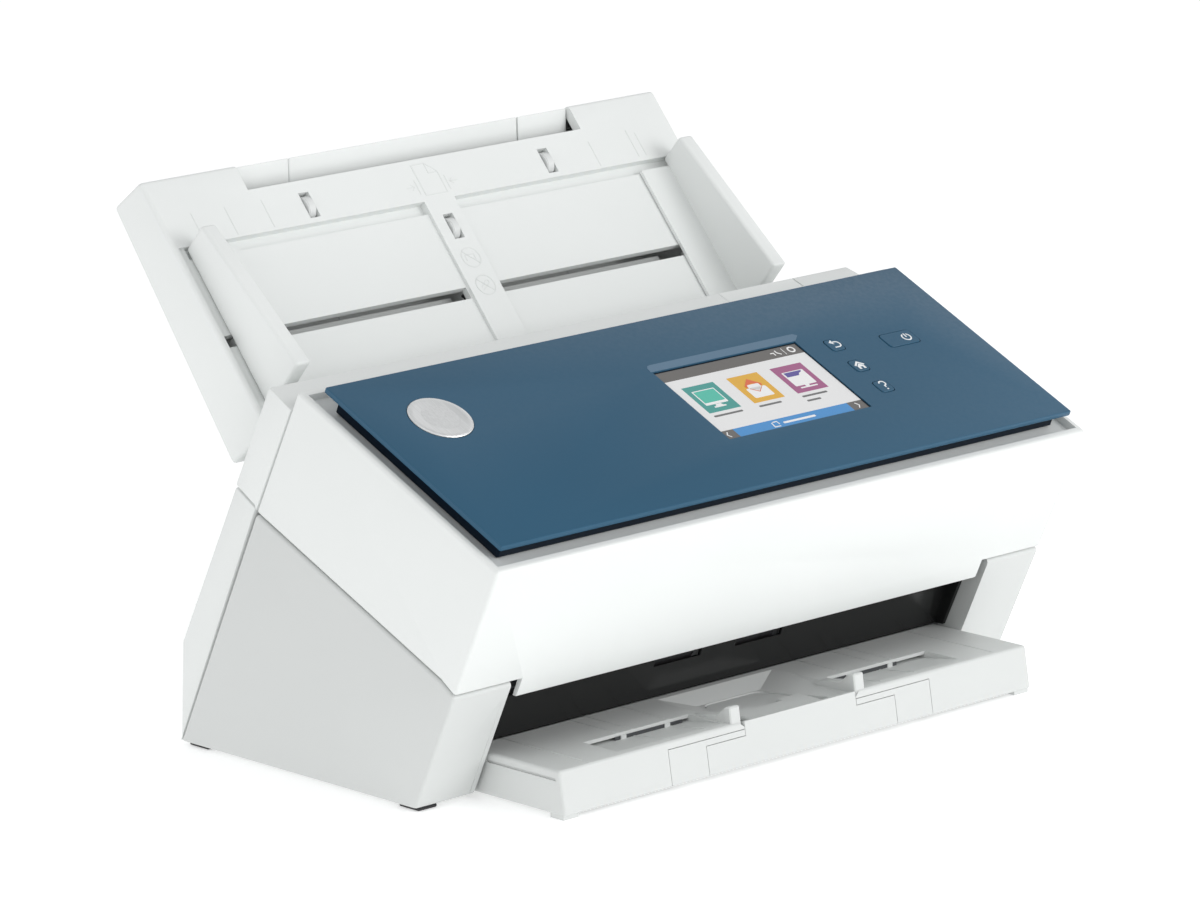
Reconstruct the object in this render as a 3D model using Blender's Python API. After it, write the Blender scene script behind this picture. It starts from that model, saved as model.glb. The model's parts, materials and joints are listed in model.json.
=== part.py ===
"""Sheet fed document scanner: a lower housing, an opening hatch and a sloping input tray.

Sizes are in millimetres and become metres when a mesh is made. +X is the scanner's left to
right, -Y is its front and +Z is up. The origin is on the table, under the middle of the box.
"""
import math

import bmesh
import bpy
from mathutils import Matrix, Vector

MM = 0.001
GAP = 0.3
SIDES = (("left", -1), ("right", 1))

# Driving sizes of the housing, as (y, z) points of the side outline.
HALF_WIDTH = 192.5
REAR_HALF_WIDTH = 189.0
WALL = 2.6
FRONT_BOTTOM = (-90.0, 2.0)
FRONT_PARTING = (-119.6, 60.2)
FRONT_TOP = (-152.7, 125.1)
SEAM_TOP = (-15.0, 188.6)
SEAM_PARTING = (18.8, 124.6)
SEAM_BOTTOM = (82.3, 2.0)
REAR_TOP = (9.9, 186.3)
REAR_PARTING = (37.5, 134.2)
REAR_BEND = (82.5, 51.0)
REAR_BOTTOM = (85.2, 2.0)
PARTING_CURVE = ((-110.5, 66.7), (-115.3, 63.4))
PARTING_GAP = 1.0
EXIT_HALF_WIDTH = 156.9
LIP_HALF_WIDTH = 151.2

# The sloping frames: panel, paper path, input tray and the tray's less steep floor. Local +Y
# runs up the slope.
PANEL_SLOPE = 24.9
PATH_SLOPE = 32.8
TRAY_SLOPE = 53.74
FLOOR_SLOPE = 50.1
PANEL_WIDTH, PANEL_LENGTH, PANEL_THICK = 372.4, 133.0, 3.0
TRAY_WIDTH, TRAY_LENGTH, TRAY_THICK = 336.4, 142.0, 26.0

HATCH_AXIS = (-99.5, 38.0)
LATCH_AXIS = (11.5, 171.0)
LATCH_X = (99.5, 150.5)
STRIP_FRONT = (-9.7, 179.1)
STOP_AXIS = (-142.6, 19.3)
OUTPUT_TOP = 23.2
OUTPUT_HALF_WIDTH = 154.0
GUIDE_INNER = 151.5
GUIDE_TRAVEL = 112.0

# Rollers: distance down the paper path, height of the axis over the path, radius.
PICKUP = (14.0, -8.5, 9.0)
DRIVE = (44.0, -7.6, 8.0)
EXIT = (141.0, -7.8, 8.0)
SEPARATION = (14.0, 9.8, 9.0)
DRIVE_PINCH = (44.0, 5.7, 5.0)
EXIT_PINCH = (141.0, 5.5, 5.0)
SCAN_LINE = 67.0
PULLEY_RADIUS = 7.0
MOTOR_PULLEY_RADIUS = 5.0
MOTOR_AXIS = (20.0, 50.0)

WHITE = (0.86, 0.87, 0.86)
BLUE = (0.06, 0.12, 0.19)
NAVY = (0.008, 0.02, 0.045)
BLACK = (0.02, 0.02, 0.021)
DARK = (0.09, 0.095, 0.1)
STEEL = (0.62, 0.63, 0.65)
RUBBER = (0.05, 0.05, 0.052)
GREEN = (0.02, 0.16, 0.08)
GLASS = (0.35, 0.42, 0.42)


def slope_frame(y, z, degrees):
    """A frame at (0, y, z) whose Y axis climbs towards the rear at this angle."""
    return Matrix.Translation((0, y * MM, z * MM)) @ Matrix.Rotation(math.radians(degrees), 4, "X")


WORLD = Matrix.Identity(4)
PANEL = slope_frame(-28.1, 191.6, PANEL_SLOPE)
PATH = slope_frame(34.0, 128.0, PATH_SLOPE)
TRAY = slope_frame(128.4, 266.3, TRAY_SLOPE)
FLOOR = slope_frame(128.4, 266.3, FLOOR_SLOPE)


def world_point(frame, x, y, z):
    """World millimetres of a point given in a frame's own millimetres."""
    return (frame @ Vector((x * MM, y * MM, z * MM))) / MM


def material(name, colour, roughness, metallic):
    found = bpy.data.materials.new(name)
    found.use_nodes = True
    shader = found.node_tree.nodes["Principled BSDF"]
    shader.inputs["Base Color"].default_value = (*colour, 1)
    shader.inputs["Roughness"].default_value = roughness
    shader.inputs["Metallic"].default_value = metallic
    return found


def made(name, bm, frame=WORLD):
    """A new object with this mesh, in millimetres of the frame, its faces pointing out."""
    bmesh.ops.recalc_face_normals(bm, faces=bm.faces)
    bmesh.ops.scale(bm, vec=(MM, MM, MM), verts=bm.verts)
    mesh = bpy.data.meshes.new(name)
    bm.to_mesh(mesh)
    bm.free()
    obj = bpy.data.objects.new(name, mesh)
    obj.matrix_world = frame
    bpy.context.scene.collection.objects.link(obj)
    return obj


def prism(name, outline, x0, x1, frame=WORLD, half_widths=None):
    """The (y, z) outline extruded along X. half_widths gives each corner its own +-X instead."""
    bm = bmesh.new()
    ends = []
    for low in (True, False):
        ring = []
        for index, (y, z) in enumerate(outline):
            x = x0 if low else x1
            if half_widths:
                x = -half_widths[index] if low else half_widths[index]
            ring.append(bm.verts.new((x, y, z)))
        ends.append(ring)
        bm.faces.new(ring)
    count = len(outline)
    for index in range(count):
        after = (index + 1) % count
        bm.faces.new((ends[0][index], ends[0][after], ends[1][after], ends[1][index]))
    return made(name, bm, frame)


def slab(name, outline, z0, z1, frame=WORLD):
    """The (x, y) outline extruded along the frame's Z."""
    bm = bmesh.new()
    face = bm.faces.new([bm.verts.new((x, y, z0)) for x, y in outline])
    grown = bmesh.ops.extrude_face_region(bm, geom=[face])
    top = [item for item in grown["geom"] if isinstance(item, bmesh.types.BMVert)]
    bmesh.ops.translate(bm, vec=(0, 0, z1 - z0), verts=top)
    return made(name, bm, frame)


def block(name, x, y, z, frame=WORLD):
    return slab(name, ((x[0], y[0]), (x[1], y[0]), (x[1], y[1]), (x[0], y[1])), z[0], z[1], frame)


def hull(name, points, frame=WORLD):
    bm = bmesh.new()
    for point in points:
        bm.verts.new(point)
    bmesh.ops.convex_hull(bm, input=bm.verts)
    return made(name, bm, frame)


def circle(centre, radius, count):
    turn = 2 * math.pi / count
    return [
        (centre[0] + radius * math.cos(i * turn), centre[1] + radius * math.sin(i * turn))
        for i in range(count)
    ]


def bar(name, centre, x, radius, frame=WORLD, sides=20):
    """A round bar along X with its axis through the (y, z) centre."""
    return prism(name, circle(centre, radius, sides), x[0], x[1], frame)


def applied(obj):
    """The object with its modifiers turned into its mesh."""
    bpy.context.view_layer.update()
    graph = bpy.context.evaluated_depsgraph_get()
    old = obj.data
    obj.data = bpy.data.meshes.new_from_object(obj.evaluated_get(graph))
    obj.modifiers.clear()
    bpy.data.meshes.remove(old)
    return obj


def rounded(obj, width, segments=2, angle=25):
    """The object with its sharp edges bevelled to this width."""
    bevel = obj.modifiers.new("Edge", "BEVEL")
    bevel.width = width * MM
    bevel.segments = segments
    bevel.limit_method = "ANGLE"
    bevel.angle_limit = math.radians(angle)
    return applied(obj)


def combined(obj, tools, operation):
    for tool in tools:
        step = obj.modifiers.new("Shape", "BOOLEAN")
        step.operation = operation
        step.object = tool
    applied(obj)
    for tool in tools:
        bpy.data.objects.remove(tool)
    return obj


def cut(obj, *tools):
    return combined(obj, tools, "DIFFERENCE")


def joined(obj, *tools):
    return combined(obj, tools, "UNION")


def named(obj, name, look, parent=None):
    """Gives the finished piece its name, its material and the empty on its joint's axis."""
    obj.name = name
    obj.data.name = name
    obj.data.materials.clear()
    obj.data.materials.append(look.copy())
    obj.data.materials[0].name = name
    obj.data.shade_smooth()
    obj.data.set_sharp_from_angle(angle=math.radians(28))
    if parent:
        place = obj.matrix_world.copy()
        obj.parent = parent
        obj.matrix_parent_inverse = parent.matrix_world.inverted()
        obj.matrix_world = place
    return obj


def joint_empty(name, point, parent=None):
    """An empty at a world point in millimetres, which stands for a moving body's joint."""
    empty = bpy.data.objects.new(name, None)
    empty.empty_display_size = 0.01
    empty.location = Vector(point) * MM
    bpy.context.scene.collection.objects.link(empty)
    bpy.context.view_layer.update()
    if parent:
        empty.parent = parent
        empty.matrix_parent_inverse = parent.matrix_world.inverted()
        bpy.context.view_layer.update()
    return empty


def front_y(z):
    """Where the sloping front face is at this height."""
    run = (FRONT_TOP[0] - FRONT_BOTTOM[0]) / (FRONT_TOP[1] - FRONT_BOTTOM[1])
    return FRONT_BOTTOM[0] + run * (z - FRONT_BOTTOM[1])


# Lower housing ---------------------------------------------------------------------------

FRONT_WALL_RUN = 2.95
SIDE_INNER = HALF_WIDTH - 2.8


def base_shell():
    outline = (FRONT_BOTTOM, FRONT_PARTING, *reversed(PARTING_CURVE), SEAM_PARTING, SEAM_BOTTOM)
    shell = rounded(prism("Shell", outline, -HALF_WIDTH, HALF_WIDTH), 1.6, 3)
    floor = FRONT_BOTTOM[1] + WALL
    inner = (
        (front_y(floor) + FRONT_WALL_RUN, floor),
        (front_y(130) + FRONT_WALL_RUN, 130),
        (150, 130),
        (150, floor),
    )
    mouth = block("Mouth", (-EXIT_HALF_WIDTH, EXIT_HALF_WIDTH), (-140, -83), (-2, 70))
    cut(shell, prism("Room", inner, -SIDE_INNER, SIDE_INNER), mouth)
    cheek = ((-90.9, 3), (-118.6, 58.3), (-110.5, 65.5), (-84, 77.2), (-84, 3))
    for _, side in SIDES:
        near, far = sorted((side * EXIT_HALF_WIDTH, side * (EXIT_HALF_WIDTH + WALL)))
        joined(shell, prism("Cheek", cheek, near, far))
    return named(shell, "base_shell", LOOKS["white"])


VENT_COUNT, VENT_PITCH, VENT_HEIGHT = 9, 4.2, 1.8


def rear_cover():
    outline = ((19.2, 127.4), REAR_PARTING, REAR_BEND, REAR_BOTTOM, (82.7, 2.0))
    widths = (HALF_WIDTH, REAR_HALF_WIDTH, REAR_HALF_WIDTH, REAR_HALF_WIDTH, HALF_WIDTH)
    cover = rounded(prism("Cover", outline, 0, 0, half_widths=widths), 1.0, 2)
    room = ((-20, 150), (26.1, 150), (35.3, 133), (80.1, 49.8), (82.2, -5), (-20, -5))
    cut(cover, prism("Room", room, -186.8, 186.8))
    cradle = ((39.5, 129.0), (46.0, 148.5), (64.3, 134.9), (61.6, 130.4), (49.2, 110.0))
    joined(cover, rounded(prism("Cradle", cradle, -164, 164), 0.8, 1))
    joined(cover, prism("Catch", ((38.6, 132), (30.4, 132), (30.4, 129.6), (40, 126.5)), 159, 163.6))
    slots = [
        block("Slot", sorted((side * 109.4, side * 126.6)), (-158, -140), (-20.4, -13.6), TRAY)
        for _, side in SIDES
    ]
    cut(cover, *slots)
    vents = [
        block("Vent", (20, 150), (70, 90), (9 + i * VENT_PITCH, 9 + VENT_HEIGHT + i * VENT_PITCH))
        for i in range(VENT_COUNT)
    ]
    cut(cover, block("Sockets", (-152, -93), (70, 90), (13, 31)), *vents)
    return named(cover, "rear_cover", LOOKS["white"])


def feet():
    for label, y0, y1 in (("front", -88.5, -74.5), ("rear", 66, 80)):
        for side_name, side in SIDES:
            x0, x1 = sorted((side * 177.5, side * 189.0))
            foot = rounded(block("Foot", (x0, x1), (y0, y1), (0, 1.7)), 0.5, 1)
            named(foot, f"foot_{label}_{side_name}", LOOKS["rubber"])


def side_frames():
    outline = ((-90, 20), (-90, 44), (-74, 55), (27, 121), (41, 112), (70, 55), (70, 18), (-60, 18))
    for side_name, side in SIDES:
        x0, x1 = sorted((side * 164.0, side * 165.5))
        plate = prism("Frame", outline, x0, x1)
        holes = [bar("Hole", path_point(roller), (x0 - 5, x1 + 5), 3.35) for roller in DRIVEN]
        holes.append(bar("Hole", MOTOR_AXIS, (x0 - 5, x1 + 5), 6.0))
        holes.append(prism("Light", ((-40, 28), (-40, 56), (0, 78), (0, 28)), x0 - 5, x1 + 5))
        cut(plate, *holes)
        named(plate, f"{side_name}_side_frame", LOOKS["steel"])


def chassis():
    plate = block("Chassis", (-163, 163), (-40, 68), (16, 17.2))
    cut(plate, *[bar_z("Hole", x, 20, 12, (10, 20)) for x in (-90, 0, 90)])
    named(plate, "chassis_plate", LOOKS["steel"])
    board = block("Board", (-155, -10), (5, 64), (21, 22.6))
    for x, y, size, tall in ((-120, 30, 12, 4), (-70, 40, 18, 3), (-40, 20, 9, 6)):
        chip = block("Chip", (x - size, x + size), (y - size, y + size), (22, 22.6 + tall))
        joined(board, chip)
    named(board, "main_board", LOOKS["green"])
    sockets = block("Sockets", (-151.6, -93.4), (68, 84.2), (13.4, 30.6))
    power = bar_y("Power", -142, 22, 5, (76, 90))
    pin = bar_y("Pin", -142, 22, 1.2, (74, 83))
    usb = block("Usb", (-128, -116), (74, 90), (16.5, 27.5))
    network = block("Network", (-110, -96), (74, 90), (15.5, 28.5))
    joined(cut(sockets, power, usb, network), pin)
    named(sockets, "rear_sockets", LOOKS["black"])


def bar_z(name, x, y, radius, z, sides=20):
    return slab(name, circle((x, y), radius, sides), z[0], z[1])


def bar_y(name, x, z, radius, y, sides=20):
    """A round bar along Y with its axis through (x, z)."""
    turned = Matrix.Translation((x * MM, 0, z * MM)) @ Matrix.Rotation(math.radians(-90), 4, "X")
    return slab(name, circle((0, 0), radius, sides), y[0], y[1], turned)


DECK = ((-147, -2.5), (1, -2.5), (3.7, 3.4), (2.0, 4.4), (-0.8, 0), (-147, 0))
ROLLER_LANDS = {"pickup": ((8, 28),), "drive": ((10, 40), (90, 120)), "exit": ((13, 40),)}


def windows(lands, centre, half, x_clear=1.6):
    """Holes through a guide plate for the rubber lands of a roller at this place on the path."""
    found = []
    for low, high in lands:
        for _, side in SIDES:
            x0, x1 = sorted((side * (low - x_clear), side * (high + x_clear)))
            found.append(block("Window", (x0, x1), (-centre - half, -centre + half), (-30, 30), PATH))
    return found


def lower_guide():
    deck = prism("Deck", DECK, -156, 156, PATH)
    scan = block("Scan", (-150.4, 150.4), (-SCAN_LINE - 6.9, -SCAN_LINE + 6.9), (-9, 9), PATH)
    cut(deck, scan, *windows(ROLLER_LANDS["pickup"], PICKUP[0], 7.4))
    cut(deck, *windows(ROLLER_LANDS["drive"], DRIVE[0], 6.9))
    cut(deck, *windows(ROLLER_LANDS["exit"], EXIT[0], 7.3))
    return named(deck, "lower_guide", LOOKS["dark"])


def scan_bars():
    line = -SCAN_LINE
    lower = block("Bar", (-153, 153), (line - 9, line + 9), (-17, -2.8), PATH)
    named(rounded(lower, 1, 1), "lower_scan_bar", LOOKS["dark"])
    glass = block("Glass", (-150, 150), (line - 6.5, line + 6.5), (-2.4, -0.2), PATH)
    named(glass, "lower_scan_glass", LOOKS["glass"])


CHUTE = ((-84.5, 23.7), (-92.9, 45.4), (-90.6, 46.2), (-88.9, 44.6), (-90.5, 43.9), (-82.3, 23.7))


def exit_chute():
    chute = prism("Chute", CHUTE, -156.4, 156.4)
    cheek = ((-83.5, 23.7), (-89.6, 23.7), (-106.9, 57.5), (-92, 57.5), (-90.5, 45))
    for _, side in SIDES:
        x0, x1 = sorted((side * 154.4, side * 156.4))
        joined(chute, prism("Cheek", cheek, x0, x1))
    notches = [
        block("Notch", sorted((side * 11.5, side * 42)), (-99, -80), (40.5, 60))
        for _, side in SIDES
    ]
    return named(cut(chute, *notches), "exit_chute", LOOKS["black"])


# Output tray and its pull-out stages ----------------------------------------------------

TRAY_FRONT_RUN = -3.2 / 21.2
STAGE_1_HALF, STAGE_2_HALF, BAY_HALF = 86.0, 62.0, 36.5


def tray_front_y(z):
    return -147.3 - TRAY_FRONT_RUN * (z - OUTPUT_TOP)


def front_plate(name, outline, thick):
    """A piece of the output tray's leaning front face, from its (x, height) outline."""
    lean = math.degrees(math.atan2(1, -TRAY_FRONT_RUN))
    frame = slope_frame(tray_front_y(0), 0, lean)
    stretch = math.sin(math.radians(lean))
    return slab(name, [(x, z / stretch) for x, z in outline], -thick, 0, frame)


def output_tray():
    top = OUTPUT_TOP
    outline = ((tray_front_y(top), top), (tray_front_y(2), 2), (-83.4, 2), (-83.4, top))
    tray = rounded(prism("Tray", outline, -OUTPUT_HALF_WIDTH, OUTPUT_HALF_WIDTH), 1.4, 3)
    room = ((-144.6, 16.4), (-147.6, -2), (-60, -2), (-60, 16.4))
    cut(tray, prism("Room", room, -151.2, 151.2))
    dip = (
        (-145, 23.6), (-118.5, 19.9), (-110, 19.9), (-110, 21.5),
        (-118.5, 21.5), (-118.5, 27), (-145, 27),
    )
    dips = [prism("Dip", dip, *sorted((side * 45.5, side * 112.8))) for _, side in SIDES]
    well_top = [(x, y, 24.2) for x in (-41, 41) for y in (-160, -87)]
    well_floor = [(-34, -160, 18.2), (34, -160, 18.2), (21, -98, 18.2), (-21, -98, 18.2)]
    cut(tray, *dips, hull("Well", well_top + well_floor))
    stage = block("Stage", (-STAGE_1_HALF - GAP, STAGE_1_HALF + GAP), (-160, -141), (-2, 19.8))
    bay = slab("Bay", bay_outline(0.6), 10, 30)
    crest = block("Crest", (-BAY_HALF - GAP, BAY_HALF + GAP), (-160, -144.4), (10, 30))
    cut(tray, stage, bay, crest)
    fin = ((-146.7, 21), (-145.5, 31), (-142.5, 31), (-136, 26), (-119, 23.1), (-119, 21))
    for _, side in SIDES:
        x0, x1 = sorted((side * 37.6, side * 44.2))
        joined(tray, rounded(prism("Fin", fin, x0, x1), 0.6, 1))
        pad = block("Pad", sorted((side * 144, side * 153.4)), (-149, -140), (0, 3))
        side_rail = block("Rail", sorted((side * 142, side * 152)), (-149, -84), (2, 4))
        joined(tray, pad, side_rail)
        x0, x1 = sorted((side * 153, side * 156))
        cut(tray, block("Groove", (x0, x1), (-145, -97), (18.2, 19.6)))
    return named(tray, "output_tray", LOOKS["white"])


def bay_outline(clear):
    """Top view of the rounded bay, from its open front to its narrow rear."""
    rear = -99.2 + clear
    corner = (13 + clear, rear - 7.0)
    turn = [math.radians(90 - 15 * i) for i in range(6)]
    arc = [(corner[0] + 7 * math.cos(a), corner[1] + 7 * math.sin(a)) for a in turn]
    right = arc + [(31 + clear, -133), (33 + clear, -160)]
    return [(-x, y) for x, y in reversed(right)] + right


def output_stages():
    first_axis = joint_empty("output_stage_1_joint", (0, -148, 9))
    inner, middle = STAGE_2_HALF + GAP, BAY_HALF + GAP
    half = [(inner, 2.6), (STAGE_1_HALF, 2.6), (STAGE_1_HALF, 19.5), (middle, 19.5)]
    half += [(middle, 16.7), (inner, 16.7)]
    plate = front_plate("Front", half, 2.8)
    other = front_plate("Front", [(-x, z) for x, z in reversed(half)], 2.8)
    slide = block("Slide", (-80, 80), (-144.2, -52), (8, 10))
    links = [block("Link", sorted((side * 64, side * 80)), (-148.6, -144), (8, 10)) for _, side in SIDES]
    joined(slide, *links)
    joined(slide, plate, other)
    named(slide, "output_extension_1", LOOKS["white"], first_axis)

    second_axis = joint_empty("output_stage_2_joint", (0, -148, 12), first_axis)
    half = [(STAGE_2_HALF, 2.6), (STAGE_2_HALF, 16.4), (BAY_HALF, 16.4), (BAY_HALF, OUTPUT_TOP)]
    front = front_plate("Front", half + [(-x, z) for x, z in reversed(half)], 2.6)
    slide = block("Slide", (-56, 56), (-147.0, -66), (11, 13))
    outline = [(x, y) for x, y in bay_outline(0) if y > -140]
    outline = [(-31.9, -146.6), *outline, (31.9, -146.6)]
    joined(front, slide)
    joined(front, slab("Ledge", outline, 15.2, 17.7))
    named(front, "output_extension_2", LOOKS["white"], second_axis)

    stop_axis = joint_empty("output_stop_joint", (0, *STOP_AXIS), second_axis)
    flap = block("Flap", (-24, 24), (-143.5, -121), (18.3, 20.2))
    cut(flap, block("Finger", (-9, 9), (-125, -120), (17, 22)))
    named(rounded(flap, 0.5, 1), "output_stop", LOOKS["white"], stop_axis)


# Rollers and their drive -----------------------------------------------------------------

DRIVEN = (PICKUP, DRIVE, EXIT)
PULLEY_X = (171.0, 177.0)


def path_point(roller):
    """World (y, z) of a roller's axis."""
    point = world_point(PATH, 0, -roller[0], roller[1])
    return (point.y, point.z)


def roller_pair(name, roller, lands, shaft_x, core, look, parent):
    """One roller's rubber: its lands on a thin core along the shaft."""
    centre = path_point(roller)
    reach = lands[-1][1]
    rubber = bar(name, centre, (-reach, reach), core, sides=16)
    for low, high in lands:
        for _, side in SIDES:
            joined(rubber, bar("Land", centre, sorted((side * low, side * high)), roller[2], sides=28))
    bore = bar("Bore", centre, (-reach - 5, reach + 5), shaft_x + GAP, sides=16)
    return named(cut(rubber, bore), name, look, parent)


def driven_rollers():
    for label, roller in zip(("pickup", "drive", "exit"), DRIVEN):
        centre = path_point(roller)
        axis = joint_empty(f"{label}_roller_joint", (0, *centre))
        shaft = bar("Shaft", centre, (-168, 178), 3.0, sides=16)
        joined(shaft, bar("Pulley", centre, PULLEY_X, PULLEY_RADIUS, sides=24))
        named(shaft, f"{label}_shaft", LOOKS["steel"], axis)
        lands = ROLLER_LANDS[label]
        roller_pair(f"{label}_roller", roller, lands, 3.0, 5.0, LOOKS["rubber"], axis)
    axis = joint_empty("motor_joint", (174, *MOTOR_AXIS))
    pulley = bar("Pulley", MOTOR_AXIS, PULLEY_X, MOTOR_PULLEY_RADIUS, sides=24)
    joined(pulley, bar("Shaft", MOTOR_AXIS, (160, 172), 2.5, sides=16))
    named(pulley, "motor_pulley", LOOKS["steel"], axis)
    motor = bar("Motor", MOTOR_AXIS, (122, 158), 19, sides=32)
    joined(motor, bar("Nose", MOTOR_AXIS, (157, 162), 9, sides=24))
    bore = bar("Bore", MOTOR_AXIS, (156, 170), 3.2, sides=16)
    named(cut(motor, bore), "feed_motor", LOOKS["dark"])


def wrapped(circles):
    """The convex outline of several circles, as (y, z) points in order."""
    points = sorted({(round(y, 6), round(z, 6)) for ring in circles for y, z in ring})

    def half(sequence):
        chain = []
        for point in sequence:
            while len(chain) > 1 and turn(chain[-2], chain[-1], point) <= 0:
                chain.pop()
            chain.append(point)
        return chain[:-1]

    return half(points) + half(points[::-1])


def turn(a, b, c):
    return (b[0] - a[0]) * (c[1] - a[1]) - (b[1] - a[1]) * (c[0] - a[0])


def drive_belt():
    wheels = [(path_point(roller), PULLEY_RADIUS) for roller in DRIVEN]
    wheels.append((MOTOR_AXIS, MOTOR_PULLEY_RADIUS))
    outer = wrapped([circle(centre, radius + 1.7, 24) for centre, radius in wheels])
    inner = wrapped([circle(centre, radius + 0.45, 24) for centre, radius in wheels])
    belt = prism("Belt", outer, 172, 176)
    return named(cut(belt, prism("Room", inner, 165, 180)), "drive_belt", LOOKS["rubber"])


def hinge_pins():
    for side_name, side in SIDES:
        pin = bar("Pin", HATCH_AXIS, sorted((side * 160, side * 189)), 2.5, sides=20)
        named(pin, f"hinge_pin_{side_name}", LOOKS["steel"])


# Hatch: upper housing, control panel and upper half of the paper path ---------------------


def hatch_cover(hatch):
    lift = PARTING_GAP
    bottom = [(y + 0.1, z + lift) for y, z in PARTING_CURVE]
    z_front = FRONT_PARTING[1] + lift
    outline = (
        (front_y(z_front), z_front), FRONT_TOP, (SEAM_TOP[0] - 0.2, SEAM_TOP[1]),
        (SEAM_PARTING[0] - 0.2, SEAM_PARTING[1] + lift), *bottom,
    )
    cover = rounded(prism("Cover", outline, -HALF_WIDTH, HALF_WIDTH), 1.8, 3)
    room = ((-146.3, 118.2), (60, 213.3), (60, 20), (-96.2, 20))
    lip = ((-121.1, 63), (-116.4, 53.6), (-115.6, 52.7), (-113.4, 52.9), (-118.1, 63))
    cut(cover, prism("Room", room, -SIDE_INNER, SIDE_INNER))
    joined(cover, prism("Lip", lip, -LIP_HALF_WIDTH, LIP_HALF_WIDTH))
    recess = block("Recess", (-189, 189), (-137, 6.3), (-11.9, 12), PANEL)
    cut(cover, recess)
    return named(cover, "hatch_cover", LOOKS["white"], hatch)


def hatch_rear_cover(hatch):
    outline = (
        STRIP_FRONT, REAR_TOP, (REAR_PARTING[0], REAR_PARTING[1] + 1.1),
        (19.6, 128.8), (SEAM_PARTING[0] + 0.2, SEAM_PARTING[1] + 1.4),
    )
    widths = (HALF_WIDTH, REAR_HALF_WIDTH, REAR_HALF_WIDTH, HALF_WIDTH, HALF_WIDTH)
    cover = rounded(prism("Cover", outline, 0, 0, half_widths=widths), 1.2, 2)
    room = ((-60, 155.0), (-12.0, 175.4), (8.0, 182.9), (35.1, 134.2), (30, 100), (-60, 100))
    cut(cover, prism("Room", room, -186.3, 186.3))
    mouth = block("Mouth", (-157.5, 157.5), (14, 60), (120, 153))
    latch = block("Latch", (LATCH_X[0] - 0.5, LATCH_X[1] + 0.5), (-3.5, 30), (165.6, 200))
    cut(cover, mouth, latch)
    return named(cover, "hatch_rear_cover", LOOKS["white"], hatch)


def hatch_latch(hatch):
    axis = joint_empty("latch_joint", (120, *LATCH_AXIS), hatch)
    cap = (
        (-3.0, 181.55), (9.9, 186.3), (20.3, 167.0), (18.0, 167.0), (8.9, 183.9), (-3.0, 179.5),
    )
    latch = rounded(prism("Cap", cap, *LATCH_X), 0.5, 1)
    rib = ((3.0, 182.5), (9.5, 184.0), (18.2, 168.0), (13.0, 169.0), (9.6, 171.0), (4.0, 180.0))
    joined(latch, *[prism("Rib", rib, x, x + 3) for x in (108, 136)])
    joined(latch, bar("Pivot", LATCH_AXIS, (104, 164), 2.2, sides=16))
    hook = ((10.0, 171.5), (13.2, 171.5), (27.3, 139), (29.4, 130), (28.8, 126), (25, 126), (23, 138))
    joined(latch, prism("Hook", hook, 160, 163))
    return named(latch, "hatch_latch", LOOKS["white"], axis)


DISPLAY = ((-13.2, 81.2), (-97.3, -39.3))
BUTTONS = (
    ("back", 100.2, -48.1, 9.4, 9.8),
    ("home", 100.2, -66.6, 9.4, 9.8),
    ("help", 100.2, -85.1, 9.4, 9.8),
    ("power", 140.0, -53.7, 21.3, 11.4),
)
BADGE = (-146.6, -38.4)
BADGE_RADIUS = 16.0
BUTTON_TRAVEL = 0.8


def rounded_rectangle(x, y, width, height, radius, steps=3):
    corners = []
    for index, (sx, sy) in enumerate(((1, 1), (-1, 1), (-1, -1), (1, -1))):
        cx = x + sx * (width / 2 - radius)
        cy = y + sy * (height / 2 - radius)
        for step in range(steps + 1):
            angle = math.radians(90 * (index + step / steps))
            corners.append((cx + radius * math.cos(angle), cy + radius * math.sin(angle)))
    return corners


def control_panel(hatch):
    half = PANEL_WIDTH / 2
    plate = rounded(block("Plate", (-half, half), (-PANEL_LENGTH, 0), (-PANEL_THICK, 0), PANEL), 0.7)
    cuts = [block("Window", DISPLAY[0], DISPLAY[1], (-9, 9), PANEL)]
    for _, x, y, width, height in BUTTONS:
        cuts.append(slab("Hole", rounded_rectangle(x, y, width, height, 2.2), -9, 9, PANEL))
    cuts.append(slab("Badge", circle(BADGE, BADGE_RADIUS + GAP, 40), -0.9, 5, PANEL))
    named(cut(plate, *cuts), "control_panel", LOOKS["blue"], hatch)

    body = rounded(block("Body", (-181.5, 181.5), (-128, -5.6), (-11.6, -3.3), PANEL), 1, 1)
    pockets = [block("Pocket", (-17, 85), (-101, -36), (-10, 5), PANEL)]
    for _, x, y, width, height in BUTTONS:
        hole = rounded_rectangle(x, y, width + 1, height + 1, 2.5)
        pockets.append(slab("Pocket", hole, -10.5, 5, PANEL))
    named(cut(body, *pockets), "panel_base", LOOKS["navy"], hatch)

    (x0, x1), (y0, y1) = DISPLAY
    screen = block("Screen", (x0 + 0.4, x1 - 0.4), (y0 + 0.4, y1 - 0.4), (-9.6, -0.9), PANEL)
    named(screen, "display_module", LOOKS["dark"], hatch)
    badge = rounded(slab("Badge", circle(BADGE, BADGE_RADIUS, 40), -0.6, 0.5, PANEL), 0.3, 1)
    named(badge, "round_badge", LOOKS["steel"], hatch)
    board = block("Board", (-30, 150), (-100, -20), (-24, -22.4), PANEL)
    named(board, "control_board", LOOKS["green"], hatch)
    for name, x, y, width, height in BUTTONS:
        axis = joint_empty(f"{name}_button_joint", world_point(PANEL, x, y, 0), hatch)
        outline = rounded_rectangle(x, y, width - 0.8, height - 0.8, 1.9)
        cap = rounded(slab("Cap", outline, -9.0, 0.35, PANEL), 0.25, 1, 60)
        named(cap, f"{name}_button", LOOKS["blue"], axis)


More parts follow.
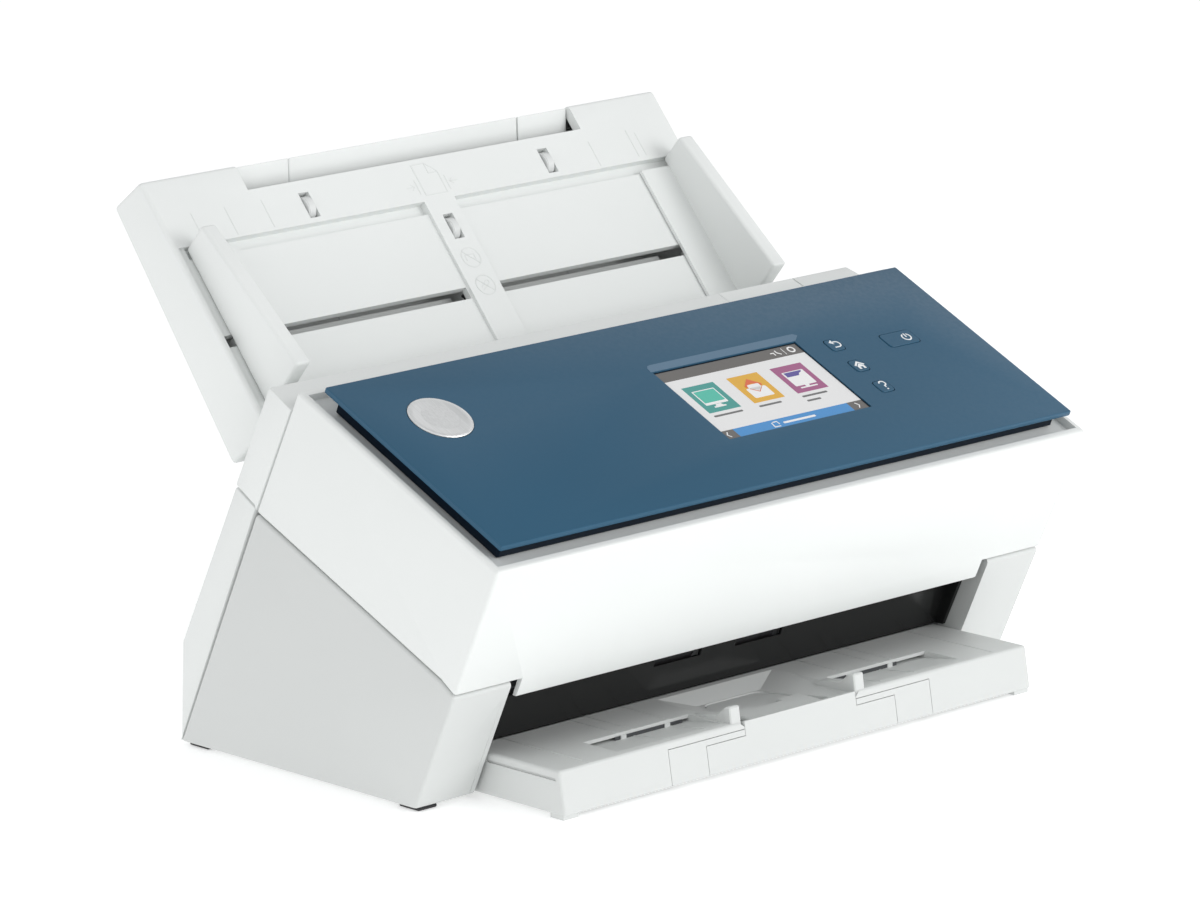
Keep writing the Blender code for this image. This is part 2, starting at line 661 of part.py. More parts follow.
def upper_path(hatch):
    line = -SCAN_LINE
    guide = ((-134, 2.3), (-4, 2.3), (3, 9), (1.4, 11), (-5, 4.8), (-134, 4.8))
    plate = prism("Guide", guide, -150, 150, PATH)
    scan = block("Scan", (-146.4, 146.4), (line - 6.9, line + 6.9), (-9, 9), PATH)
    pinch = block("Pinch", (-127, 127), (-DRIVE[0] - 6.5, -DRIVE[0] + 6.5), (-9, 9), PATH)
    feed = block("Feed", (-37, 37), (-PICKUP[0] - 9, 9), (-9, 19), PATH)
    named(cut(plate, scan, pinch, feed), "upper_guide", LOOKS["dark"], hatch)
    bar_box = block("Bar", (-148, 148), (line - 9, line + 9), (5.1, 19), PATH)
    named(rounded(bar_box, 1, 1), "upper_scan_bar", LOOKS["dark"], hatch)
    glass = block("Glass", (-146, 146), (line - 6.5, line + 6.5), (2.5, 4.7), PATH)
    named(glass, "upper_scan_glass", LOOKS["glass"], hatch)
    rollers = (
        ("separation_roller", SEPARATION, ((8, 28),), 35, 3.5),
        ("drive_pinch_roller", DRIVE_PINCH, ((10, 40), (90, 120)), 125, 2.0),
        ("exit_pinch_roller", EXIT_PINCH, ((13, 40),), 47, 2.0),
    )
    for name, roller, lands, reach, core in rollers:
        centre = path_point(roller)
        axis = joint_empty(f"{name}_joint", (0, *centre), hatch)
        shaft = bar("Shaft", centre, (-reach, reach), core, sides=12)
        for low, high in lands:
            for _, side in SIDES:
                land = bar("Land", centre, sorted((side * low, side * high)), roller[2], sides=24)
                joined(shaft, land)
        named(shaft, name, LOOKS["rubber"], axis)


def hatch_hinges(hatch):
    neck = ((-102.2, 42.2), (-95.7, 34.7), (-70, 74), (-64, 92), (-60, 116), (-110, 100))
    neck += ((-112, 76), (-106, 74), (-86, 82), (-80, 76))
    for side_name, side in SIDES:
        x0, x1 = sorted((side * 167.5, side * 169.5))
        plate = prism("Hinge", neck, x0, x1)
        joined(plate, bar("Boss", HATCH_AXIS, (x0, x1), 4.8, sides=24))
        cut(plate, bar("Hole", HATCH_AXIS, (x0 - 5, x1 + 5), 2.85, sides=20))
        named(plate, f"hatch_hinge_{side_name}", LOOKS["steel"], hatch)


# Input tray -------------------------------------------------------------------------------

STEP_TOP = 38.6
SKIN = 5.4
RACK_Y = -91.2
PINION_PITCH = 7.2
PINION_TEETH = 12
WHEEL_PLACES = (("left", -78.1, -28.6), ("right", 78.1, -28.6), ("centre", 0.0, -54.5))
NOTCH_HALF = 109.0


def on_floor(y, z):
    """The tray frame's (y, z) of a point given in the floor frame."""
    turn = math.radians(TRAY_SLOPE - FLOOR_SLOPE)
    return (y * math.cos(turn) + z * math.sin(turn), z * math.cos(turn) - y * math.sin(turn))


def input_tray(lift):
    half = TRAY_WIDTH / 2
    low = on_floor(-TRAY_LENGTH, 0)
    wedge = ((0, 0), (0, -TRAY_THICK), (low[0], -TRAY_THICK), low)
    tray = rounded(prism("Tray", wedge, -half, half, TRAY), 2.2, 3)
    inner_low = on_floor(-TRAY_LENGTH + 2.8, -SKIN)
    hollow = (on_floor(-2.8, -SKIN), (-2.8, -40), (inner_low[0], -40), inner_low)
    room = prism("Room", hollow, -half + 2.8, half - 2.8, TRAY)
    notch = block("Notch", (-NOTCH_HALF, NOTCH_HALF), (-14.6, 9), (-23.3, 9), TRAY)
    cut(tray, room, notch)
    for _, side in SIDES:
        pocket = block("Pocket", sorted((side * 9.8, side * 165.3)), (-150, -STEP_TOP), (-1.6, 9), FLOOR)
        step = block("Step", sorted((side * 9.8, side * 161)), (-45.0, -STEP_TOP), (-4.2, 9), FLOOR)
        slot = block("Slot", sorted((side * 10.8, side * 165.0)), (-94.4, -88.0), (-9, 9), FLOOR)
        cut(tray, pocket, step, slot)
    slots = [block("Slot", (x - 3.2, x + 3.2), (y - 7.2, y + 7.2), (-9, 9), FLOOR) for _, x, y in WHEEL_PLACES]
    cut(tray, *slots)
    tabs = [
        block("Tab", sorted((side * 110, side * 126)), (-154, -139.5), (-20, -14), TRAY)
        for _, side in SIDES
    ]
    joined(tray, *tabs)
    named(tray, "input_tray", LOOKS["white"], lift)
    back = block("Back", (-half + 3.2, half - 3.2), (-TRAY_LENGTH + 3.2, -3.2), (-25.6, -23.6), TRAY)
    named(back, "input_tray_back", LOOKS["white"], lift)
    for label, x, y in WHEEL_PLACES:
        place = world_point(FLOOR, x, y, -4.3)
        axis = joint_empty(f"tray_wheel_{label}_joint", place, lift)
        wheel = rounded(bar("Wheel", (y, -4.3), (x - 2.3, x + 2.3), 6.3, FLOOR, 24), 0.6, 1)
        joined(wheel, bar("Axle", (y, -4.3), (x - 2.9, x + 2.9), 1.2, FLOOR, 10))
        named(wheel, f"tray_wheel_{label}", LOOKS["white"], axis)


def rack(x0, x1, y_root, facing):
    """A toothed rack along X. facing is the side its teeth point to, +1 or -1 along Y."""
    pitch = 2 * math.pi * PINION_PITCH / PINION_TEETH
    back = y_root - facing * 3.4
    outline = [(x0, back), (x0, y_root)]
    first = math.ceil(x0 / pitch) + 1
    last = math.floor(x1 / pitch) - 1
    for index in range(first, last):
        middle = (index + 0.5) * pitch
        outline += [(middle - 0.95, y_root), (middle - 0.45, y_root + facing * 1.5)]
        outline += [(middle + 0.45, y_root + facing * 1.5), (middle + 0.95, y_root)]
    outline += [(x1, y_root), (x1, back)]
    return outline


def guides(lift):
    top, low = on_floor(-39.4, -1.2), on_floor(-126.4, -1.2)
    fin = (top, (-36.0, 19.0), (-123.3, 40.0), (-126.6, 25.0), low)
    for side_name, side in SIDES:
        axis = joint_empty(f"{side_name}_guide_joint", world_point(FLOOR, side * 156, -84, 0), lift)
        x0, x1 = sorted((side * GUIDE_INNER, side * (GUIDE_INNER + 9)))
        guide = rounded(prism("Fin", fin, x0, x1, TRAY), 1.6, 3)
        foot = block("Foot", sorted((side * 132.3, side * 152.5)), (-131.2, -44.4), (-1.2, 0.6), FLOOR)
        stem = block("Stem", sorted((side * 141, side * 157)), (-93.8, -88.5), (-12, 0), FLOOR)
        near = RACK_Y - side * (PINION_PITCH + 1.0)
        reach = sorted((side * 157.0, -side * 9.0))
        bridge = block("Bridge", sorted((side * 141, side * 157)), sorted((RACK_Y, near - side * 3.4)), (-12, -9), FLOOR)
        teeth = slab("Rack", rack(*reach, near, side), -12, -9, FLOOR)
        joined(guide, foot)
        joined(guide, stem)
        joined(guide, bridge)
        joined(guide, teeth)
        named(guide, f"{side_name}_guide", LOOKS["white"], axis)
    outline = []
    step = 2 * math.pi / PINION_TEETH
    for index in range(PINION_TEETH):
        for offset, radius in ((-0.17, 6.3), (-0.06, 7.7), (0.06, 7.7), (0.17, 6.3)):
            angle = math.pi / 2 + index * step + offset
            outline.append((radius * math.cos(angle), RACK_Y + radius * math.sin(angle)))
    axis = joint_empty("guide_pinion_joint", world_point(FLOOR, 0, RACK_Y, -10.5), lift)
    pinion = slab("Pinion", outline, -12, -9, FLOOR)
    bore = slab("Bore", circle((0, RACK_Y), 2.2, 16), -20, 0, FLOOR)
    named(cut(pinion, bore), "guide_pinion", LOOKS["dark"], axis)


HEAD = ((-0.6, -1.0), (-14.0, -10.8), (-14.0, -22.8), (-0.6, -22.8))


def input_extensions(lift):
    outer_axis = joint_empty("input_stage_1_joint", world_point(TRAY, 0, 0, -15), lift)
    half, split = NOTCH_HALF - 0.5, 75.0
    head = prism("Head", HEAD, -half, half, TRAY)
    plate = block("Plate", (-half, half), (-128, -13), (-22.8, -17.5), TRAY)
    joined(rounded(head, 1.2, 3), plate)
    cut(head, block("Split", (-split - 0.4, split + 0.4), (-104, 9), (-40, 9), TRAY))
    named(head, "input_extension_1", LOOKS["white"], outer_axis)
    inner_axis = joint_empty("input_stage_2_joint", world_point(TRAY, 0, 0, -15), outer_axis)
    head = prism("Head", HEAD, -split, split, TRAY)
    plate = block("Plate", (-split, split), (-103, -13), (-22.8, -17.5), TRAY)
    joined(rounded(head, 1.2, 3), plate)
    named(head, "input_extension_2", LOOKS["white"], inner_axis)


LOOKS = {}


def looks():
    for name, colour, roughness, metallic in (
        ("white", WHITE, 0.45, 0), ("blue", BLUE, 0.35, 0), ("navy", NAVY, 0.3, 0),
        ("black", BLACK, 0.15, 0), ("dark", DARK, 0.5, 0), ("steel", STEEL, 0.3, 1),
        ("rubber", RUBBER, 0.8, 0), ("green", GREEN, 0.4, 0), ("glass", GLASS, 0.05, 0),
    ):
        LOOKS[name] = material(name, colour, roughness, metallic)


def main():
    for old in list(bpy.data.objects):
        bpy.data.objects.remove(old)
    looks()
    base_shell()
    rear_cover()
    feet()
    side_frames()
    chassis()
    lower_guide()
    scan_bars()
    exit_chute()
    output_tray()
    output_stages()
    driven_rollers()
    drive_belt()
    hinge_pins()
    hatch = joint_empty("hatch_joint", (0, *HATCH_AXIS))
    hatch_cover(hatch)
    hatch_rear_cover(hatch)
    hatch_latch(hatch)
    control_panel(hatch)
    upper_path(hatch)
    hatch_hinges(hatch)
    lift = joint_empty("input_tray_joint", world_point(TRAY, 0, -TRAY_LENGTH, -TRAY_THICK / 2))
    input_tray(lift)
    guides(lift)
    input_extensions(lift)


main()
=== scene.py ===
"""Looks of the sheet fed document scanner: finishes for every CAD node, the small details that ride on
them, and the studio. Sizes are in millimetres and become metres when a mesh is made."""
import json
import math

import bmesh
import bpy
from mathutils import Matrix, Vector


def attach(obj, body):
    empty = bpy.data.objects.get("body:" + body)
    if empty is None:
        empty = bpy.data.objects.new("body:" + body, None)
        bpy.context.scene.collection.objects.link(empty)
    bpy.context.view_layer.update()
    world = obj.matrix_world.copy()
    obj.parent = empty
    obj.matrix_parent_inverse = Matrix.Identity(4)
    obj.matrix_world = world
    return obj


MM = 0.001
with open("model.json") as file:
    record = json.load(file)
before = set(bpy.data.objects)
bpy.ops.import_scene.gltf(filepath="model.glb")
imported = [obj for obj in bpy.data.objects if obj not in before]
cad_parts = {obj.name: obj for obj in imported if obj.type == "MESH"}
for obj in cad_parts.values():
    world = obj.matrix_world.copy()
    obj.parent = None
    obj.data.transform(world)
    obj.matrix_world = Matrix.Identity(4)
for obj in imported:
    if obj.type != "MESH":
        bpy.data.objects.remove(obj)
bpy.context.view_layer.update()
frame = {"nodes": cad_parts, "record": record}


def slope_frame(y, z, degrees):
    """A frame at (0, y, z) whose Y axis climbs towards the rear at this angle."""
    return Matrix.Translation((0, y * MM, z * MM)) @ Matrix.Rotation(math.radians(degrees), 4, "X")


WORLD = Matrix.Identity(4)
PANEL = slope_frame(-28.1, 191.6, 24.9)
PATH = slope_frame(34.0, 128.0, 32.8)
FLOOR = slope_frame(128.4, 266.3, 50.1)


# Materials ---------------------------------------------------------------------------------


class Finish:
    """A node material under construction: a Principled shader fed by textures in object space."""

    def __init__(self, name, roughness, metallic=0.0, specular=0.5, coat=0.0):
        self.material = bpy.data.materials.new(name)
        self.material.use_nodes = True
        self.tree = self.material.node_tree
        self.shader = self.tree.nodes["Principled BSDF"]
        self.shader.inputs["Roughness"].default_value = roughness
        self.shader.inputs["Metallic"].default_value = metallic
        self.shader.inputs["Specular IOR Level"].default_value = specular
        self.shader.inputs["Coat Weight"].default_value = coat
        self.shader.inputs["Coat Roughness"].default_value = 0.08
        self.space = self.tree.nodes.new("ShaderNodeTexCoord").outputs["Object"]
        self.bumped = None

    def node(self, kind, **settings):
        made = self.tree.nodes.new(kind)
        for key, value in settings.items():
            setattr(made, key, value)
        return made

    def link(self, source, target):
        self.tree.links.new(source, target)

    def stretched(self, scale):
        mapping = self.node("ShaderNodeMapping")
        mapping.inputs["Scale"].default_value = scale
        self.link(self.space, mapping.inputs["Vector"])
        return mapping.outputs["Vector"]

    def noise(self, scale, detail=3.0, rough=0.5, stretch=None):
        texture = self.node("ShaderNodeTexNoise")
        texture.inputs["Scale"].default_value = scale
        texture.inputs["Detail"].default_value = detail
        texture.inputs["Roughness"].default_value = rough
        self.link(self.stretched(stretch) if stretch else self.space, texture.inputs["Vector"])
        return texture.outputs["Fac"]

    def ranged(self, value, low, high, to_low, to_high):
        mapped = self.node("ShaderNodeMapRange")
        for key, number in zip(("From Min", "From Max", "To Min", "To Max"), (low, high, to_low, to_high)):
            mapped.inputs[key].default_value = number
        self.link(value, mapped.inputs["Value"])
        return mapped.outputs["Result"]

    def ramp(self, value, stops):
        ramp = self.node("ShaderNodeValToRGB")
        elements = ramp.color_ramp.elements
        elements[0].position, elements[0].color = stops[0][0], (*stops[0][1], 1)
        elements[1].position, elements[1].color = stops[-1][0], (*stops[-1][1], 1)
        for position, colour in stops[1:-1]:
            elements.new(position).color = (*colour, 1)
        self.link(value, ramp.inputs["Fac"])
        return ramp.outputs["Color"]

    def mixed(self, share, first, second):
        mix = self.node("ShaderNodeMix", data_type="RGBA")
        self.link(share, mix.inputs[0])
        for socket, value in ((mix.inputs[6], first), (mix.inputs[7], second)):
            if isinstance(value, tuple):
                socket.default_value = (*value, 1)
            else:
                self.link(value, socket)
        return mix.outputs[2]

    def colour(self, value):
        self.link(value, self.shader.inputs["Base Color"])

    def rough(self, value):
        self.link(value, self.shader.inputs["Roughness"])

    def bump(self, value, strength, distance_mm):
        bump = self.node("ShaderNodeBump")
        bump.inputs["Strength"].default_value = strength
        bump.inputs["Distance"].default_value = distance_mm * MM
        self.link(value, bump.inputs["Height"])
        if self.bumped:
            self.link(self.bumped, bump.inputs["Normal"])
        self.bumped = bump.outputs["Normal"]
        self.link(self.bumped, self.shader.inputs["Normal"])


def shaded(colour, amount):
    return tuple(min(1.0, channel * amount) for channel in colour)


def moulded(name, colour, roughness, grain_mm=0.35, grain=0.35, drift=0.02, specular=0.5, coat=0.0):
    """Moulded plastic: a fine spark-eroded grain, slow drift of tone and a slightly uneven sheen."""
    look = Finish(name, roughness, specular=specular, coat=coat)
    slow = look.noise(9.0, 2.0)
    tone = look.ramp(slow, ((0.3, shaded(colour, 1 - drift)), (0.7, shaded(colour, 1 + drift))))
    specks = look.noise(1000 / grain_mm, 2.0, 0.6)
    speckled = look.ranged(specks, 0.35, 0.65, 0.0, 0.05)
    look.colour(look.mixed(speckled, tone, shaded(colour, 0.82)))
    sheen = look.noise(140.0, 4.0, 0.6)
    look.rough(look.ranged(sheen, 0.3, 0.7, roughness * 0.93, min(1.0, roughness * 1.08)))
    look.bump(specks, grain, 0.02)
    return look.material


def brushed(name, colour, roughness, stretch=(4, 900, 900)):
    """Metal with fine lines along X and a faint unevenness."""
    look = Finish(name, roughness, metallic=1.0)
    lines = look.noise(1.0, 5.0, 0.7, stretch)
    look.colour(look.ramp(lines, ((0.25, shaded(colour, 0.86)), (0.75, shaded(colour, 1.08)))))
    look.rough(look.ranged(lines, 0.2, 0.8, roughness * 0.75, roughness * 1.35))
    look.bump(lines, 0.25, 0.01)
    return look.material


def rubbery(name, colour, ribs=0.0):
    """Matt rubber with a ground surface and, on rollers, fine grooves."""
    look = Finish(name, 0.82, specular=0.3)
    dust = look.noise(60.0, 5.0, 0.65)
    look.colour(look.ramp(dust, ((0.3, shaded(colour, 0.8)), (0.72, shaded(colour, 1.5)))))
    look.rough(look.ranged(dust, 0.3, 0.7, 0.74, 0.92))
    look.bump(look.noise(2600.0, 3.0, 0.7), 0.6, 0.05)
    if ribs:
        wave = look.node("ShaderNodeTexWave", bands_direction="X")
        wave.inputs["Scale"].default_value = ribs
        look.link(look.space, wave.inputs["Vector"])
        look.bump(wave.outputs["Fac"], 0.5, 0.15)
    return look.material


def circuit(name):
    """Solder mask with darker traces under it and small pads."""
    look = Finish(name, 0.32, specular=0.5, coat=0.3)
    brick = look.node("ShaderNodeTexBrick")
    for key, value in (("Scale", 160.0), ("Mortar Size", 0.03), ("Brick Width", 1.7), ("Row Height", 0.32)):
        brick.inputs[key].default_value = value
    brick.inputs["Color1"].default_value = (0.012, 0.11, 0.055, 1)
    brick.inputs["Color2"].default_value = (0.016, 0.15, 0.07, 1)
    brick.inputs["Mortar"].default_value = (0.006, 0.06, 0.03, 1)
    look.link(look.space, brick.inputs["Vector"])
    pads = look.node("ShaderNodeTexVoronoi")
    pads.inputs["Scale"].default_value = 210.0
    look.link(look.space, pads.inputs["Vector"])
    dots = look.ranged(pads.outputs["Distance"], 0.10, 0.13, 1.0, 0.0)
    look.colour(look.mixed(dots, brick.outputs["Color"], (0.55, 0.5, 0.3)))
    look.bump(brick.outputs["Fac"], 0.3, 0.03)
    return look.material


def glazed(name, colour, roughness=0.06):
    """Dark scanning glass with a faint smear."""
    look = Finish(name, roughness, specular=0.6, coat=0.6)
    smear = look.noise(30.0, 4.0, 0.6, (1, 4, 1))
    look.colour(look.ramp(smear, ((0.35, shaded(colour, 0.85)), (0.7, shaded(colour, 1.25)))))
    look.rough(look.ranged(smear, 0.3, 0.8, roughness, roughness * 3))
    return look.material


def lit(name, colour, glow=0.35, roughness=0.12):
    """A patch of the lit display: its colour, the fine pixel grid and a little light of its own."""
    look = Finish(name, roughness, specular=0.5, coat=0.4)
    grid = look.node("ShaderNodeTexChecker")
    grid.inputs["Scale"].default_value = 5200.0
    grid.inputs["Color1"].default_value = (*shaded(colour, 1.0), 1)
    grid.inputs["Color2"].default_value = (*shaded(colour, 0.93), 1)
    look.link(look.space, grid.inputs["Vector"])
    veil = look.noise(26.0, 2.0)
    toned = look.mixed(look.ranged(veil, 0.3, 0.7, 0.0, 0.08), grid.outputs["Color"], shaded(colour, 0.86))
    look.colour(toned)
    look.link(toned, look.shader.inputs["Emission Color"])
    look.shader.inputs["Emission Strength"].default_value = glow
    return look.material


def lacquer(name, colour, roughness, specular, coat=0.0, glitter=0.04):
    """Painted panel: a smooth coat with a trace of orange peel and metallic fleck."""
    look = Finish(name, roughness, specular=specular, coat=coat)
    slow = look.noise(5.0, 2.0)
    base = look.ramp(slow, ((0.3, shaded(colour, 0.96)), (0.7, shaded(colour, 1.05))))
    fleck = look.noise(3200.0, 1.0)
    look.colour(look.mixed(look.ranged(fleck, 0.62, 0.8, 0.0, glitter), base, shaded(colour, 2.2)))
    peel = look.noise(420.0, 2.0)
    look.rough(look.ranged(peel, 0.3, 0.7, roughness * 0.9, roughness * 1.12))
    look.bump(peel, 0.12, 0.012)
    return look.material


SHELL_WHITE = (0.775, 0.795, 0.785)
TRAY_WHITE = (0.785, 0.805, 0.795)
# Painted shade: the lower housing's white is about a fifth darker than the shell white, standing in for the
# shade that falls on it.
BASE_WHITE_PAINTED_SHADE = shaded(SHELL_WHITE, 0.81)
BLUE = (0.027, 0.096, 0.166)

FINISHES = {
    "white_shell": moulded("white_shell", SHELL_WHITE, 0.42, 0.30, 0.22, 0.012),
    "white_tray": moulded("white_tray", TRAY_WHITE, 0.46, 0.34, 0.28, 0.012),
    "panel_blue": lacquer("panel_blue", BLUE, 0.36, 0.22, 0.04),
    "navy_gloss": lacquer("navy_gloss", (0.002, 0.008, 0.018), 0.34, 0.14, 0.0, 0.02),
    "black_gloss": lacquer("black_gloss", (0.014, 0.0145, 0.0145), 0.22, 0.32, 0.0, 0.015),
    "dark_plastic": moulded("dark_plastic", (0.055, 0.058, 0.062), 0.5, 0.4, 0.5, 0.06, 0.4),
    "screen": glazed("screen", (0.012, 0.016, 0.02), 0.08),
    "steel": brushed("steel", (0.58, 0.59, 0.61), 0.34),
    "badge_metal": brushed("badge_metal", (0.90, 0.91, 0.91), 0.40, (1400, 6, 1400)),
    "rubber": rubbery("rubber", (0.035, 0.035, 0.037), 90.0),
    "circuit_green": circuit("circuit_green"),
    "scan_glass": glazed("scan_glass", (0.05, 0.07, 0.07)),
}
LOWER_WHITE_PAINTED_SHADE = moulded("lower_white_painted_shade", BASE_WHITE_PAINTED_SHADE, 0.44, 0.30, 0.22, 0.012)
# Painted shade: the embossed marks are a little darker than the tray so their low relief reads as shaded.
EMBOSS_PAINTED_SHADE_WHITE = moulded("embossed_painted_shade_white", shaded(TRAY_WHITE, 0.93), 0.5, 0.34, 0.28, 0.02)
ICON_WHITE = moulded("icon_white", (0.84, 0.86, 0.87), 0.5, 0.3, 0.1, 0.01)
BLUE_LIGHT = lacquer("panel_blue_light", (0.085, 0.165, 0.25), 0.32, 0.4, 0.1)
GREY_STEEL = brushed("screw_steel", (0.42, 0.43, 0.45), 0.38, (700, 700, 700))
COPPER = brushed("contact_gold", (0.75, 0.58, 0.30), 0.3, (900, 30, 900))
WHEEL_GREY = moulded("wheel_grey", (0.70, 0.715, 0.71), 0.4, 0.3, 0.15, 0.02)


def soft_edges(name, everywhere):
    """Geometry nodes that join each mesh's doubled points and shade it smooth: everywhere but at its sharp
    edges, or nowhere. They work on what is shown, so the CAD node's own mesh stays as it was loaded."""
    tree = bpy.data.node_groups.new(name, "GeometryNodeTree")
    tree.interface.new_socket("Geometry", in_out="INPUT", socket_type="NodeSocketGeometry")
    tree.interface.new_socket("Geometry", in_out="OUTPUT", socket_type="NodeSocketGeometry")
    source, result = tree.nodes.new("NodeGroupInput"), tree.nodes.new("NodeGroupOutput")
    merge = tree.nodes.new("GeometryNodeMergeByDistance")
    merge.inputs["Distance"].default_value = MERGE_MM * MM
    normals = tree.nodes.new("GeometryNodeSetMeshNormal")
    normals.mode = "SHARPNESS"
    normals.inputs["Remove Custom"].default_value = True
    normals.inputs["Face Sharpness"].default_value = not everywhere
    angle = tree.nodes.new("GeometryNodeInputMeshEdgeAngle")
    steep = tree.nodes.new("FunctionNodeCompare")
    steep.operation = "GREATER_THAN"
    steep.inputs["B"].default_value = math.radians(SHARP_DEGREES)
    for start, end in (
        (source.outputs[0], merge.inputs["Geometry"]),
        (merge.outputs[0], normals.inputs["Mesh"]),
        (angle.outputs["Unsigned Angle"], steep.inputs["A"]),
        (steep.outputs["Result"], normals.inputs["Edge Sharpness"]),
        (normals.outputs["Mesh"], result.inputs[0]),
    ):
        tree.links.new(start, end)
    return tree


MERGE_MM = 0.002
SHARP_DEGREES = 32
SMOOTH, FLAT = soft_edges("soft_edges", True), soft_edges("flat_faces", False)
FLAT_NODES = ("output_tray",)  # its shallow dips would blur into each other

slot_of = {row["node"]: row["material_slot"] for row in frame["record"]["subparts"]}
for name, node in frame["nodes"].items():
    node.material_slots[0].material = FINISHES[slot_of[name]]
    node.modifiers.new("Shading", "NODES").node_group = FLAT if name in FLAT_NODES else SMOOTH
for name in ("tray_wheel_left", "tray_wheel_right", "tray_wheel_centre"):
    frame["nodes"][name].material_slots[0].material = WHEEL_GREY
# The lower housing and the output parts take the darker white: painted shade.
for name in ("base_shell", "output_tray", "output_extension_1", "output_extension_2", "output_stop"):
    frame["nodes"][name].material_slots[0].material = LOWER_WHITE_PAINTED_SHADE


# Mesh helpers ------------------------------------------------------------------------------


def plate(bm, outline, low, high):
    """The (x, y) outline as a closed plate between two heights."""
    bottom = [bm.verts.new((x, y, low)) for x, y in outline]
    top = [bm.verts.new((x, y, high)) for x, y in outline]
    bm.faces.new(bottom)
    bm.faces.new(top)
    for index in range(len(outline)):
        after = (index + 1) % len(outline)
        bm.faces.new((bottom[index], bottom[after], top[after], top[index]))


def strip(bm, points, width, low, high, closed=False):
    """A flat line of this width along the points."""
    count = len(points)
    rings = []
    for index in range(count):
        before = points[index - 1] if closed or index else points[index]
        after = points[(index + 1) % count] if closed or index < count - 1 else points[index]
        run = Vector((after[0] - before[0], after[1] - before[1])).normalized()
        side = Vector((-run.y, run.x)) * width / 2
        here = Vector(points[index])
        if 0 < index < count - 1 or closed:
            first = Vector((here.x - before[0], here.y - before[1])).normalized()
            side /= max(0.5, first.dot(run))
        left, right = here + side, here - side
        corners = ((left, high), (right, high), (right, low), (left, low))
        rings.append([bm.verts.new((point.x, point.y, height)) for point, height in corners])
    for index in range(count if closed else count - 1):
        first, second = rings[index], rings[(index + 1) % count]
        for corner in range(4):
            after = (corner + 1) % 4
            bm.faces.new((first[corner], first[after], second[after], second[corner]))
    if not closed:
        bm.faces.new(rings[0])
        bm.faces.new(rings[-1])


def turned(bm, profile, centre=(0, 0), sides=32):
    """The (radius, height) profile turned about an upright axis; radius 0 closes it."""
    rings = []
    for radius, height in profile:
        if radius == 0:
            rings.append([bm.verts.new((centre[0], centre[1], height))])
            continue
        turn = 2 * math.pi / sides
        ring = []
        for i in range(sides):
            across, along = radius * math.cos(i * turn), radius * math.sin(i * turn)
            ring.append(bm.verts.new((centre[0] + across, centre[1] + along, height)))
        rings.append(ring)
    for first, second in zip(rings, rings[1:]):
        for i in range(sides):
            j = (i + 1) % sides
            if len(first) == 1:
                bm.faces.new((first[0], second[j], second[i]))
            elif len(second) == 1:
                bm.faces.new((first[i], first[j], second[0]))
            else:
                bm.faces.new((first[i], first[j], second[j], second[i]))


def arc(centre, radius, start, end, steps=18):
    found = []
    for i in range(steps + 1):
        angle = math.radians(start + (end - start) * i / steps)
        found.append((centre[0] + radius * math.cos(angle), centre[1] + radius * math.sin(angle)))
    return found


CORNER_STEPS = 4


def box(x0, x1, y0, y1, radius=0.0):
    """A rectangle's outline, its corners rounded."""
    if not radius:
        return [(x0, y0), (x1, y0), (x1, y1), (x0, y1)]
    left, right, near, far = x0 + radius, x1 - radius, y0 + radius, y1 - radius
    outline = []
    for turn, centre in enumerate(((right, far), (left, far), (left, near), (right, near))):
        outline += arc(centre, radius, turn * 90, turn * 90 + 90, CORNER_STEPS)
    return outline


def piece(name, bm, place, body, material, bevel=0.0, smooth=True):
    """Turns the mesh, drawn in millimetres of a frame, into a piece that rides on a body."""
    bmesh.ops.recalc_face_normals(bm, faces=bm.faces)
    bmesh.ops.scale(bm, vec=(MM, MM, MM), verts=bm.verts)
    mesh = bpy.data.meshes.new(name)
    bm.to_mesh(mesh)
    bm.free()
    obj = bpy.data.objects.new(name, mesh)
    bpy.context.scene.collection.objects.link(obj)
    obj.matrix_world = place
    mesh.materials.append(material)
    if bevel:
        edge = obj.modifiers.new("Edge", "BEVEL")
        edge.width = bevel * MM
        edge.segments = 2
        edge.limit_method = "ANGLE"
        edge.angle_limit = math.radians(40)
    if smooth:
        mesh.shade_smooth()
        mesh.set_sharp_from_angle(angle=math.radians(35))
    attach(obj, body)
    return obj


# Display -----------------------------------------------------------------------------------

FIELD = lit("display_field", (0.74, 0.74, 0.74), 0.10)
DISPLAY_GREY = lit("display_grey", (0.105, 0.098, 0.092), 0.10)
DISPLAY_BLUE = lit("display_blue", (0.035, 0.24, 0.56), 0.10)
DISPLAY_TEAL = lit("display_teal", (0.035, 0.29, 0.26), 0.08)
DISPLAY_MINT = lit("display_mint", (0.06, 0.47, 0.36), 0.08)
DISPLAY_AMBER = lit("display_amber", (0.70, 0.38, 0.02), 0.08)
DISPLAY_ORANGE = lit("display_orange", (0.68, 0.12, 0.03), 0.08)
DISPLAY_PLUM = lit("display_plum", (0.33, 0.08, 0.21), 0.08)
DISPLAY_VIOLET = lit("display_violet", (0.08, 0.06, 0.29), 0.08)
DISPLAY_WHITE = lit("display_white", (0.80, 0.80, 0.80), 0.10)
DISPLAY_LABEL = lit("display_label", (0.13, 0.13, 0.13), 0.1)


def layer(name, material, level, outlines=(), lines=()):
    """One colour of the picture on the display."""
    bm = bmesh.new()
    low = -0.88 + 0.07 * level
    for outline in outlines:
        plate(bm, outline, low, low + 0.09)
    for points, width, closed in lines:
        strip(bm, points, width, low, low + 0.09, closed)
    return piece(name, bm, PANEL, "hatch", material, smooth=False)


